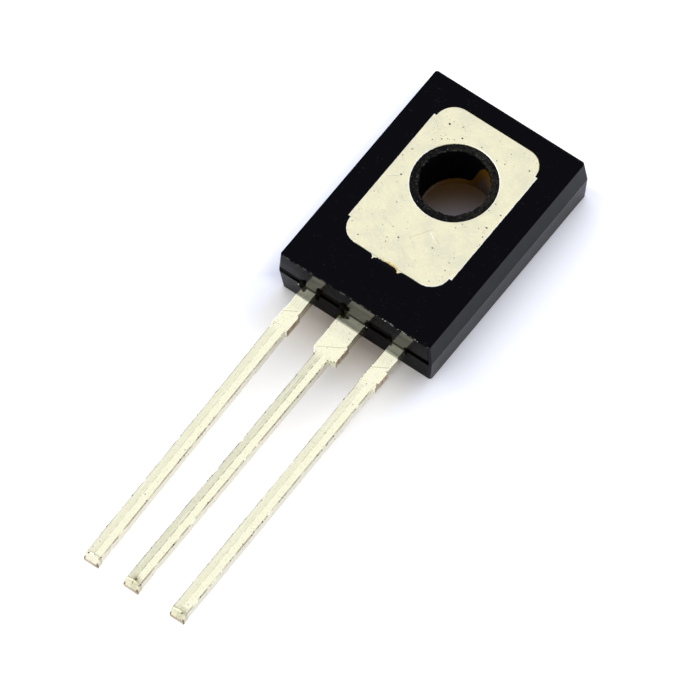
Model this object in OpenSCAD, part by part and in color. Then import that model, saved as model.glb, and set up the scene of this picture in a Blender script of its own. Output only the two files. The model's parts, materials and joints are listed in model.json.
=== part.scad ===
// Flat plastic power transistor with three leads, lying on its front face.
// The mounting face with its bare metal pad looks up (+Z) and the leads run along -Y.
// The origin is on the axis of the screw hole, in the plane of the front face.

/* [Moulded body] */
// Width of the body at the parting line
body_w = 7.68; // [6.6:0.02:9]
// Length of the body at the parting line
body_l = 10.79; // [10:0.01:13]
// Thickness of the body, from front face to mounting face
body_h = 2.61; // [2.4:0.01:3.2]
// Draft of both mould halves, in degrees from the vertical
draft_angle = 4; // [1:0.5:6]
// Flat across each upright corner, measured along either side of the body
corner_cut = 0.08; // [0.02:0.01:0.3]
// Height of the gap that the two mould halves leave along the lead end
slit_h = 0.24; // [0.1:0.02:0.4]
// Depth of that gap
slit_depth = 0.16; // [0.05:0.01:0.3]
// How far that gap reaches in over the edges of each lead
slit_over = 0.05; // [0.02:0.01:0.1]
// How far that gap stops short of the sides of the body
slit_short = 0.1; // [0.02:0.01:0.6]

/* [Screw hole] */
// Diameter of the screw hole
hole_d = 3; // [2.6:0.05:3.6]
// From the far end of the body to the axis of the hole, as a share of the body's length
hole_share = 0.3644; // [0.33:0.0001:0.4]
// Wall of plastic that lines the hole where it passes the metal tab
lining = 0.325; // [0.15:0.005:0.5]

/* [Metal tab] */
// Gauge of the sheet that the tab and all leads are stamped from
gauge = 0.5; // [0.4:0.01:0.6]
// Width of the bare pad across its long edges
pad_w = 5.22; // [4.6:0.02:6]
// From the axis of the hole to the far edge of the pad
pad_above = 3.02; // [2.6:0.02:3.2]
// Radius of the corners of the pad
pad_corner_r = 0.87; // [0.4:0.01:1.2]
// How far the long edges stand out past the rounded corners
pad_flank = 0.12; // [0.04:0.01:0.25]
// Width of the neck between the pad and the centre lead
neck_w = 1.27; // [0.9:0.01:1.6]
// Radius of the inner corners where the neck leaves the pad
neck_fillet = 0.2; // [0.1:0.01:0.4]
// Part of the neck that lies flush with the pad before it dips, as a share of its length in the body
flat_share = 0.06; // [0.03:0.01:0.12]
// Part of the neck that is flat again before it leaves the body, as a share of that length
foot_share = 0.24; // [0.15:0.01:0.35]

/* [Leads] */
// Distance between neighbouring leads
lead_pitch = 2.22; // [2:0.01:2.6]
// Width of a lead
lead_w = 0.68; // [0.5:0.01:0.9]
// Length of the leads outside the body
lead_len = 14.92; // [6:0.02:18]
// From the mounting face down to the upper face of the leads, where the mould parts
lead_drop = 1.25; // [1.05:0.01:1.4]
// Width of the centre lead next to the body
shoulder_w = 1.16; // [0.9:0.01:1.4]
// Length of the sloping step from the wide to the narrow part of the centre lead
shoulder_slope = 0.3; // [0.1:0.02:0.6]
// From the body to the remains of the cut tie bar
tie_from = 1.2; // [0.8:0.02:1.6]
// Width of the cut tie bar
tie_w = 0.9; // [0.5:0.02:1.2]
// Stub that the cut leaves on the +X side of each lead
stub_right = 0.07; // [0.02:0.01:0.15]
// Stub that the cut leaves on the -X side of each lead
stub_left = 0.03; // [0.02:0.01:0.15]
// Height of the ridge along the upper face, past the tie bar
ridge_h = 0.035; // [0.01:0.005:0.08]
// How far the cut bends the edge of each tip down
tip_drop = 0.26; // [0.1:0.01:0.35]
// Length of that bent edge
tip_l = 0.2; // [0.1:0.01:0.4]
// Sideways lean of the base lead past its tie bar, in degrees
base_lean_angle = 1.2; // [-2:0.05:2]
// Sideways lean of the collector lead
collector_lean_angle = 0.2; // [-2:0.05:2]
// Sideways lean of the emitter lead
emitter_lean_angle = 0.55; // [-2:0.05:2]

/* [Chip and bonds] */
// Side of the square silicon die
die_w = 1.8; // [1:0.05:2.2]
// Bare metal before and after the die, each as a share of the room that the hole and the die leave
margin_share = 0.1477; // [0.1:0.0001:0.2]
// Thickness of the die
die_t = 0.25; // [0.15:0.01:0.35]
// Thickness of the solder under the die
solder_t = 0.05; // [0.03:0.01:0.1]
// How far the solder spreads past the die
solder_edge = 0.1; // [0.05:0.01:0.2]
// Bond pads on the die, from its centre lines
bond_offset = 0.45; // [0.2:0.01:0.5]
// Width of the bonding post at the inner end of an outer lead
post_w = 1.5; // [1:0.02:1.8]
// Length of a bonding post
post_l = 1; // [0.7:0.02:1.3]
// Corner radius of a bonding post
post_r = 0.2; // [0.1:0.01:0.3]
// Length of plain lead between the body's end and its bonding post
post_setback = 0.75; // [0.5:0.02:1]
// Diameter of the emitter bond wire
emitter_wire_d = 0.25; // [0.1:0.01:0.3]
// Diameter of the base bond wire
base_wire_d = 0.2; // [0.1:0.01:0.3]
// Height of the lowest point of the wires' centre line above the front face
wire_floor = 0.36; // [0.25:0.01:0.5]

/* [Hidden] */
$fn = 64;

// Length by which one solid runs into another that it is joined to or cut from
bite = 0.1;
// How far a cutting block reaches past what it cuts
past = 1;

// Heights above the front face
lead_top = body_h - lead_drop;
lead_bottom = lead_top - gauge;
tab_bottom = body_h - gauge;
die_top = tab_bottom - solder_t;
die_face = die_top - die_t;

// Places along Y
body_far = hole_share * body_l;
body_end = body_far - body_l;
body_mid = (body_far + body_end) / 2;
tab_hole_r = hole_d / 2 + lining;
die_margin = margin_share * (-body_end - tab_hole_r - die_w);
die_y = -(tab_hole_r + die_margin + die_w / 2);
// From the axis of the hole to the lead-side edge of the pad
pad_below = tab_hole_r + die_w + 2 * die_margin;
neck_l = -body_end - pad_below;
neck_flat = flat_share * neck_l;
neck_foot = foot_share * neck_l;
tie_end = tie_from + tie_w;
post_y = body_end + post_setback + post_l / 2;

// Insets that the draft gives the two flat faces
inset_top = lead_drop * tan(draft_angle);
inset_front = lead_top * tan(draft_angle);
// Size of the body across two opposite corner flats, at the parting line
corner_span = (body_w + body_l - 2 * corner_cut) / sqrt(2);

// Where each wire lands, for the side that it lies on (+1 emitter, -1 base)
function die_bond(side) = [side * bond_offset, die_y - bond_offset];
function post_bond(side) = [side * (lead_pitch - post_w / 6), post_y];

// A wire is one circular arc: it leaves the die, dips to wire_floor and rises to the post.
// Horizontal span of the arc, and the heights of its two ends above its lowest point
function arc_span(side) = norm(post_bond(side) - die_bond(side));
arc_a = die_face - wire_floor;
arc_b = lead_bottom - wire_floor;
// Horizontal distance from the die's end of the arc to its lowest point
function arc_low(side) =
    let (d = arc_span(side))
    arc_a == arc_b ? d / 2
    : (d * arc_a - sqrt(arc_a * arc_b * (d * d + pow(arc_a - arc_b, 2)))) / (arc_a - arc_b);
function arc_r(side) = (pow(arc_low(side), 2) + arc_a * arc_a) / (2 * arc_a);

// Flat rectangle with rounded corners, centred
module round_rect(w, l, r) {
    square([w - 2 * r, l], center = true);
    square([w, l - 2 * r], center = true);
    for (x = [-1, 1], y = [-1, 1])
        translate([x * (w / 2 - r), y * (l / 2 - r)])
            circle(r);
}

// Outline of one mould half over the other, from the size at the parting line; a slanting section
// takes its insets longer by a factor
function drafted(size, factor) = [
    [-size / 2 + factor * inset_front, 0],
    [size / 2 - factor * inset_front, 0],
    [size / 2, lead_top],
    [size / 2 - factor * inset_top, body_h],
    [-size / 2 + factor * inset_top, body_h],
    [-size / 2, lead_top],
];

// Drafted section of the body, drawn out square to the direction that it is turned to
module section(turn, size, factor = 1) {
    rotate([90, 0, turn])
        linear_extrude(height = body_w + body_l, center = true)
            polygon(drafted(size, factor));
}

// Outer form of the moulding: the sections across, along and over both pairs of corners, crossed
module moulding() {
    translate([0, body_mid, 0])
        intersection() {
            section(0, body_w);
            section(90, body_l);
            section(45, corner_span, sqrt(2));
            section(-45, corner_span, sqrt(2));
        }
}

// Gap along the lead end, over the parting plane, between the leads and out towards the corners
module parting_gap() {
    difference() {
        translate([-body_w / 2 + slit_short, body_end - past, lead_top])
            cube([body_w - 2 * slit_short, past + slit_depth, slit_h]);
        for (i = [-1, 0, 1])
            translate([i * lead_pitch, body_end, lead_top])
                cube([(i == 0 ? shoulder_w : lead_w) - 2 * slit_over, 4 * past, 4 * past], center = true);
    }
}

// Bare pad seen from above, with its long edges standing out past the corners
module pad_outline() {
    pad_l = pad_above + pad_below;
    translate([0, (pad_above - pad_below) / 2]) {
        round_rect(pad_w - 2 * pad_flank, pad_l, pad_corner_r);
        square([pad_w, pad_l - 2 * pad_corner_r], center = true);
    }
}

// Inner corners where the neck leaves the pad
module neck_corners() {
    for (side = [-1, 1])
        translate([side * (neck_w / 2 + neck_fillet), -pad_below - neck_fillet])
            difference() {
                translate([-side * (neck_fillet + bite) / 2, (neck_fillet + bite) / 2])
                    square(neck_fillet + bite, center = true);
                circle(neck_fillet);
            }
}

// Neck that steps down from the pad to the plane of the leads, with the sheet's own gauge
module neck() {
    dip = -pad_below - neck_flat;
    foot = body_end + neck_foot;
    slope = atan2(lead_drop, dip - foot);
    mitre = gauge * tan(slope / 2);
    inner = -pad_below + bite + neck_fillet;
    rotate([90, 0, 90])
        linear_extrude(height = neck_w, center = true)
            polygon([
                [inner, body_h],
                [dip, body_h],
                [foot, lead_top],
                [foot - bite, lead_top],
                [foot - bite, lead_bottom],
                [foot + mitre, lead_bottom],
                [dip + mitre, tab_bottom],
                [inner, tab_bottom],
            ]);
}

// Places a lead's own drawing, with +Y running out from the body's end, and gives it the gauge
module lead_sheet(x) {
    translate([x, body_end, lead_top])
        rotate([180, 0, 0])
            linear_extrude(height = gauge)
                children();
}

// Stubs of the cut tie bar on both sides of a lead of width w
module tie_stubs(w) {
    translate([-w / 2 - stub_left, tie_from])
        square([w + stub_left + stub_right, tie_w]);
}

// Long thin part of a lead past the tie bar: a low ridge on top and a bent-down edge at the tip
module lead_bar(x, lean) {
    bar_l = lead_len - tie_end;
    translate([x, body_end - tie_end, lead_top])
        rotate([0, 0, lean])
            difference() {
                translate([0, bite, 0])
                    rotate([90, 0, 0])
                        linear_extrude(height = bar_l + bite)
                            polygon([
                                [-lead_w / 2, -gauge],
                                [lead_w / 2, -gauge],
                                [lead_w / 2, 0],
                                [0, ridge_h],
                                [-lead_w / 2, 0],
                            ]);
                rotate([90, 0, 90])
                    linear_extrude(height = 2 * lead_w, center = true)
                        polygon([
                            [-bar_l - past, -tip_drop - past * (tip_drop + ridge_h) / tip_l],
                            [-bar_l + tip_l, ridge_h],
                            [-bar_l + tip_l, past],
                            [-bar_l - past, past],
                        ]);
            }
}

// Emitter or base lead, for the side that it lies on: bonding post, tie stubs and lead
module outer_lead(side, lean) {
    x = side * lead_pitch;
    lead_sheet(x) {
        translate([-lead_w / 2, -post_setback - bite])
            square([lead_w, post_setback + bite + tie_end]);
        tie_stubs(lead_w);
        translate([0, -post_setback - post_l / 2])
            round_rect(post_w, post_l, post_r);
    }
    lead_bar(x, lean);
}

// Wire arc with both ends run on into the metal that they are bonded to
module wire_arc(side, d) {
    r = arc_r(side);
    low = arc_low(side);
    a = die_bond(side);
    b = post_bond(side);
    turn_a = atan2(low, r - arc_a);
    turn_b = atan2(arc_span(side) - low, r - arc_b);
    run_on = bite / r * 180 / PI;
    translate([a.x, a.y, wire_floor + r])
        rotate([0, 0, atan2(b.y - a.y, b.x - a.x)])
            translate([low, 0, 0])
                rotate([90, 0, 0])
                    rotate([0, 0, -90 - turn_a - run_on])
                        rotate_extrude(angle = turn_a + turn_b + 2 * run_on)
                            translate([r, 0])
                                circle(d / 2, $fn = 32);
}

module die_block() {
    translate([0, die_y, die_face + die_t / 2])
        cube([die_w, die_w, die_t], center = true);
}

module solder_block() {
    side = die_w + 2 * solder_edge;
    translate([0, die_y, die_top + solder_t / 2])
        cube([side, side, solder_t], center = true);
}

module tab_metal() {
    difference() {
        translate([0, 0, body_h])
            mirror([0, 0, 1])
                linear_extrude(height = gauge) {
                    pad_outline();
                    neck_corners();
                }
        cylinder(r = tab_hole_r, h = 3 * body_h, center = true);
    }
    neck();
    lead_sheet(0) {
        translate([-shoulder_w / 2, -neck_foot])
            square([shoulder_w, neck_foot + bite]);
        polygon([
            [-shoulder_w / 2, 0],
            [shoulder_w / 2, 0],
            [shoulder_w / 2, tie_end],
            [lead_w / 2, tie_end],
            [-lead_w / 2, tie_end + shoulder_slope / 2],
            [-shoulder_w / 2, tie_end - shoulder_slope / 2],
        ]);
        translate([0, tie_from])
            square([shoulder_w / 2 + stub_right, tie_w]);
    }
    lead_bar(0, collector_lean_angle);
}

// Black moulding around everything, with the metal's own shape left open in it
module epoxy_body() {
    color([0.06, 0.06, 0.07])
        difference() {
            moulding();
            cylinder(d = hole_d, h = 3 * body_h, center = true);
            parting_gap();
            tab_metal();
            outer_lead(1, emitter_lean_angle);
            outer_lead(-1, base_lean_angle);
            die_block();
            solder_block();
            wire_arc(1, emitter_wire_d);
            wire_arc(-1, base_wire_d);
        }
}

// Tinned tab with its pad, stepped neck and the centre lead, one stamping
module collector_tab() {
    color([0.91, 0.89, 0.79])
        tab_metal();
}

module emitter_lead() {
    color([0.88, 0.87, 0.78])
        outer_lead(1, emitter_lean_angle);
}

module base_lead() {
    color([0.88, 0.87, 0.78])
        outer_lead(-1, base_lean_angle);
}

module silicon_die() {
    color([0.36, 0.37, 0.42])
        die_block();
}

module die_solder() {
    color([0.66, 0.67, 0.69])
        solder_block();
}

// Bond wire that ends on the faces of the die and the post
module emitter_wire() {
    color([0.85, 0.86, 0.87])
        difference() {
            wire_arc(1, emitter_wire_d);
            die_block();
            outer_lead(1, emitter_lean_angle);
        }
}

module base_wire() {
    color([0.85, 0.86, 0.87])
        difference() {
            wire_arc(-1, base_wire_d);
            die_block();
            outer_lead(-1, base_lean_angle);
        }
}

epoxy_body();
collector_tab();
emitter_lead();
base_lead();
silicon_die();
die_solder();
emitter_wire();
base_wire();
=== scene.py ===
"""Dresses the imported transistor.

The moulding gets rounded edges and the lead frame its stamped, tinned finish. Resin flash, crumbs
and dust lie on them, and a floor, lights and a camera make the stage.
"""
import json
import math

import bmesh
import bpy
from bpy.props import FloatProperty, FloatVectorProperty, IntProperty, PointerProperty
from mathutils import Matrix, Vector, noise

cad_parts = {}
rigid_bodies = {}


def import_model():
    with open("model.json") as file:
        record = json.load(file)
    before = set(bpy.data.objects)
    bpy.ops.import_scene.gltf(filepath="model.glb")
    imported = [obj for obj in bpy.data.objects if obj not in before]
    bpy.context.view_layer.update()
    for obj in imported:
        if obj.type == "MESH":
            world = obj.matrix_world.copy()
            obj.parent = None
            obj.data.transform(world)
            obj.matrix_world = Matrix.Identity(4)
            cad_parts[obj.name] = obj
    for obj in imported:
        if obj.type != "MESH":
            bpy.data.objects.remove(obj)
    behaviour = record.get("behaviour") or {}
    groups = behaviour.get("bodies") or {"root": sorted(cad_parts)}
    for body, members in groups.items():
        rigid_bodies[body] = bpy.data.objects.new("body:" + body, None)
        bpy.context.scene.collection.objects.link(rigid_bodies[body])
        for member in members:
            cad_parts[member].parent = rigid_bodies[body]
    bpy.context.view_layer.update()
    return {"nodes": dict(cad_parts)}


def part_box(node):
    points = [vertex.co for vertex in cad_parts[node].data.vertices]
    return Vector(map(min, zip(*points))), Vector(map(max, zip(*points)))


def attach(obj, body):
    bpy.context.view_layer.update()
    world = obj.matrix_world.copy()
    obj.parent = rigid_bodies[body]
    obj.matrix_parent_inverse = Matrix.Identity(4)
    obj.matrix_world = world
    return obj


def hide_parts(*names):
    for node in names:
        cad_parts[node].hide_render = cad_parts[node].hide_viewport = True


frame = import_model()

bl_info = {
    "name": "Flat power transistor",
    "version": (1, 0, 0),
    "blender": (4, 5, 0),
    "location": "3D View > Sidebar > Transistor",
    "description": "Dresses the CAD frame of a flat three-lead power transistor",
    "category": "Object",
}

MM = 0.001
BODY_LOW, BODY_HIGH = (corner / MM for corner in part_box("epoxy_body"))
LEAD_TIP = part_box("collector_tab")[0].y / MM
TOP = BODY_HIGH.z
BODY_END = BODY_LOW.y
BODY_MIDDLE = (BODY_HIGH.y + BODY_LOW.y) / 2

# Sizes that the part's source gives, in millimetres, and the leads' sideways leans in degrees
HOLE_R = 1.5
TAB_HOLE_R = 1.825
PARTING_Z = 1.36
LEAD_PITCH = 2.22
LEAD_W = 0.68
SHOULDER_W = 1.16
TIE_FROM = 1.2
TIE_END = 2.1
SLIT_H = 0.24
PAD_HALF_W = 2.49
PAD_FLANK = 0.12
PAD_FAR = 3.02
PAD_NEAR = -4.58
PAD_CORNER = 0.87
LEANS = {"base_lead": 1.2, "collector_tab": 0.2, "emitter_lead": 0.55}
LEAD_END = BODY_END - LEAD_TIP
LEAD_X = {"base_lead": -LEAD_PITCH, "collector_tab": 0.0, "emitter_lead": LEAD_PITCH}
LEAD_PIECES = {"collector_tab": "collector", "emitter_lead": "emitter", "base_lead": "base"}

# Degrees between faces: one flat face below the first, shaded sharp above the second, rounded
# above the third, and shaded sharp on the lumps above the last
FLAT_ANGLE, CREASE_ANGLE, BEVEL_ANGLE, LUMP_ANGLE = 0.4, 5, 20, 60

# Points closer than this are one: in a CAD mesh, in a cut and along a wavering lead
CAD_MERGE, CUT_MERGE, LEAD_MERGE = 2e-4, 1e-5, 2e-3

# Least height of a level face's normal, and how near to a face a point counts as on it
LEVEL, CLOSE = 0.99, 0.01

# The picture's rightward direction on the floor; its nearward one lies at right angles to it
RIGHT_X, RIGHT_Y = 0.766, 0.643

# Colours with more than one use
BLACK = (0.0, 0.0, 0.0)
WHITE = (1.0, 1.0, 1.0)
COMPOUND = (0.0016, 0.0016, 0.003)

# Scratches on the pad: both ends, half width in millimetres, strength and colour
SCRATCHES = (
    ((0.51, -2.36), (0.94, -2.63), 0.03, 0.6, (1.0, 1.0, 0.94)),
    ((-2.45, -1.35), (-1.98, -1.01), 0.025, 0.4, (0.4, 0.36, 0.24)),
    ((0.04, -3.09), (0.61, -2.22), 0.03, 0.35, (0.45, 0.41, 0.28)),
    ((-1.5, -2.9), (-0.7, -3.1), 0.022, 0.3, (0.45, 0.41, 0.28)),
)


class MouldingProps(bpy.types.PropertyGroup):
    """Look of the black moulding."""

    colour: FloatVectorProperty(
        name="Colour", description="Colour of the moulding compound", subtype="COLOR",
        size=3, min=0, max=1, default=COMPOUND)
    edge_radius: FloatProperty(
        name="Edge radius", description="Rounding of the moulding's edges", unit="LENGTH",
        min=0, default=0.03 * MM)
    side_gloss: FloatProperty(
        name="Side gloss", description="Share of polish on the drafted sides", subtype="FACTOR",
        min=0, max=1, default=0.34)
    end_gloss: FloatProperty(
        name="End gloss", description="Share of polish on the end where the leads come out",
        subtype="FACTOR", min=0, max=1, default=0.3)


class LeadframeProps(bpy.types.PropertyGroup):
    """Look of the stamped and tinned metal."""

    tin: FloatVectorProperty(
        name="Tin", description="Colour of the tin coat", subtype="COLOR",
        size=3, min=0, max=1, default=(0.785, 0.752, 0.55))
    bright_tin: FloatVectorProperty(
        name="Bright tin", description="Colour of the smooth tin on the leads", subtype="COLOR",
        size=3, min=0, max=1, default=(0.98, 0.965, 0.74))
    dull_tin: FloatVectorProperty(
        name="Dull tin", description="Colour of the greyer tin on rolled facets", subtype="COLOR",
        size=3, min=0, max=1, default=(0.67, 0.66, 0.515))
    copper: FloatVectorProperty(
        name="Copper", description="Colour of the sheared copper faces", subtype="COLOR",
        size=3, min=0, max=1, default=(0.36, 0.24, 0.15))
    edge_radius: FloatProperty(
        name="Edge radius", description="Rounding of the stamped edges", unit="LENGTH",
        min=0, default=0.035 * MM)
    edge_waver: FloatProperty(
        name="Edge waver", description="How far the leads' edges wander", unit="LENGTH",
        min=0, default=0.014 * MM)


class CrumbProps(bpy.types.PropertyGroup):
    """Specks of dirt and resin on the part."""

    seed: IntProperty(name="Seed", description="Seed of the scatter", default=7)
    size: FloatProperty(
        name="Size", description="Mean radius of a speck", unit="LENGTH", min=0,
        default=0.022 * MM)
    density: FloatProperty(
        name="Density", description="Specks on each square metre of edge", min=0, default=4.5e7)
    flash: FloatProperty(
        name="Flash", description="Scale of the resin lumps where the leads come out",
        min=0, default=1.0)


class StageProps(bpy.types.PropertyGroup):
    """Floor, light and camera."""

    floor: FloatVectorProperty(
        name="Floor", description="Colour of the floor", subtype="COLOR",
        size=3, min=0, max=1, default=(0.85, 0.85, 0.86))
    floor_lift: FloatProperty(
        name="Floor lift", description="White that the floor shows to the camera",
        subtype="FACTOR", min=0, max=1, default=0.45)
    sky: FloatProperty(
        name="Sky", description="Light from all round", subtype="FACTOR",
        min=0, max=2, default=0.5)
    key_power: FloatProperty(
        name="Key power", description="Power of the soft key light", unit="POWER",
        min=0, default=0.78)
    side_power: FloatProperty(
        name="Side power", description="Power of the low light from the left", unit="POWER",
        min=0, default=0.18)
    sheen_power: FloatProperty(
        name="Sheen power", description="Power of the light that only the metal mirrors",
        unit="POWER", min=0, default=0.42)


def operation(kind, swapped=False):
    """A method that adds a Math node for two values, or for one."""
    def method(self, other=0.0):
        a, b = (other, self) if swapped else (self, other)
        return self.board.math(kind, a, b)
    return method


class Wire:
    """A value in a shader tree; arithmetic on it adds Math nodes."""

    def __init__(self, board, socket):
        self.board = board
        self.socket = socket

    __add__, __radd__ = operation("ADD"), operation("ADD", swapped=True)
    __sub__, __rsub__ = operation("SUBTRACT"), operation("SUBTRACT", swapped=True)
    __mul__, __rmul__ = operation("MULTIPLY"), operation("MULTIPLY", swapped=True)
    __truediv__, __pow__ = operation("DIVIDE"), operation("POWER")
    __abs__ = operation("ABSOLUTE")
    at_least, at_most = operation("MAXIMUM"), operation("MINIMUM")

    def rise(self, low, high):
        """0 up to low, 1 from high, smooth between; falls where low is above high."""
        flip = low > high
        lo, hi = (high, low) if flip else (low, high)
        out = self.board.put("ShaderNodeMapRange", {"interpolation_type": "SMOOTHSTEP"},
                             {"Value": self, "From Min": lo, "From Max": hi})
        return 1 - out if flip else out


class Board:
    """One node tree under construction."""

    def __init__(self, tree, material=None):
        self.tree = tree
        self.material = material
        tree.nodes.clear()

    def put(self, kind, settings=None, sockets=None, output=0):
        """Adds a node with its settings, then the values or links of its sockets.

        It returns the named or numbered output, or the node itself where output is None.
        """
        node = self.tree.nodes.new(kind)
        for key, value in (settings or {}).items():
            setattr(node, key, value)
        for key, value in (sockets or {}).items():
            if isinstance(value, Wire):
                self.tree.links.new(value.socket, node.inputs[key])
            else:
                node.inputs[key].default_value = value
        return Wire(self, node.outputs[output]) if output is not None else node

    def math(self, operation, a, b=0.0):
        return self.put("ShaderNodeMath", {"operation": operation}, {0: a, 1: b})

    def mix(self, share, a, b):
        """Colour a where share is 0 and b where it is 1; each is a wire or three numbers."""
        a, b = (shade if isinstance(shade, Wire) else (*shade, 1.0) for shade in (a, b))
        # The node has sockets for each data type under the same names; these are the colours
        return self.put("ShaderNodeMix", {"data_type": "RGBA"}, {0: share, 6: a, 7: b}, output=2)

    def layers(self, base, *coats):
        """Lays each coat, a share and a colour, over what is below it."""
        for share, shade in coats:
            base = self.mix(share, base, shade)
        return base

    def millimetres(self):
        """The object's own coordinates, in millimetres."""
        place = self.put("ShaderNodeTexCoord", output="Object")
        return self.put("ShaderNodeVectorMath", {"operation": "SCALE"},
                        {0: place, "Scale": 1 / MM})

    def split(self, vector):
        """The three parts of a vector."""
        node = self.put("ShaderNodeSeparateXYZ", None, {0: vector}, output=None)
        return [Wire(self, socket) for socket in node.outputs]

    def join(self, x, y, z):
        return self.put("ShaderNodeCombineXYZ", None, {0: x, 1: y, 2: z})

    def noise(self, vector, scale, detail=2.0, roughness=0.5):
        return self.put("ShaderNodeTexNoise", None, {
            "Vector": vector, "Scale": scale, "Detail": detail, "Roughness": roughness})

    def cells(self, vector, scale):
        """Distance to the nearest cell centre."""
        return self.put("ShaderNodeTexVoronoi", {"feature": "F1"},
                        {"Vector": vector, "Scale": scale})

    def bump(self, height, strength, distance):
        return self.put("ShaderNodeBump", None,
                        {"Height": height, "Strength": strength, "Distance": distance})

    def seen(self):
        """1 for camera rays and for rays from a mirroring or a clear surface, else 0."""
        rays = self.put("ShaderNodeLightPath", output=None)
        camera, glossy, clear = (Wire(self, rays.outputs[f"Is {kind} Ray"])
                                 for kind in ("Camera", "Glossy", "Transmission"))
        return (camera + glossy + clear).at_most(1.0)

    def surface(self, sockets):
        """Principled surface of the material, which it returns."""
        return self.output(self.put("ShaderNodeBsdfPrincipled", None, sockets))

    def output(self, shader):
        """Links a shader to the output of the material, which it returns."""
        self.put("ShaderNodeOutputMaterial", None, {"Surface": shader}, output=None)
        return self.material


def new_board(name):
    """The board of a new material."""
    material = bpy.data.materials.new(name)
    material.use_nodes = True
    return Board(material.node_tree, material)


def rightward(x, y):
    """Distance from the bore's axis towards the picture's right."""
    return x * RIGHT_X + y * RIGHT_Y


def outside_pad(x, y):
    """Distance outside the pad's outline, negative inside."""
    mid = (PAD_FAR + PAD_NEAR) / 2
    half_l = (PAD_FAR - PAD_NEAR) / 2
    qx = abs(x) - (PAD_HALF_W - PAD_CORNER)
    qy = abs(y - mid) - (half_l - PAD_CORNER)
    ox, oy = qx.at_least(0.0), qy.at_least(0.0)
    rounded = (ox * ox + oy * oy) ** 0.5 + qx.at_least(qy).at_most(0.0) - PAD_CORNER
    flanks = (abs(x) - (PAD_HALF_W + PAD_FLANK)).at_least(qy)
    return rounded.at_most(flanks)


def scratch(x, y, start, end, width):
    """Share of a straight scratch between two points."""
    run, rise = end[0] - start[0], end[1] - start[1]
    length = math.hypot(run, rise)
    along = ((x - start[0]) * run + (y - start[1]) * rise) / length
    off = abs((x - start[0]) * rise - (y - start[1]) * run) / length
    return off.rise(width, width * 0.3) * along.rise(0.0, 0.1) * along.rise(length, length - 0.1)


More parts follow.
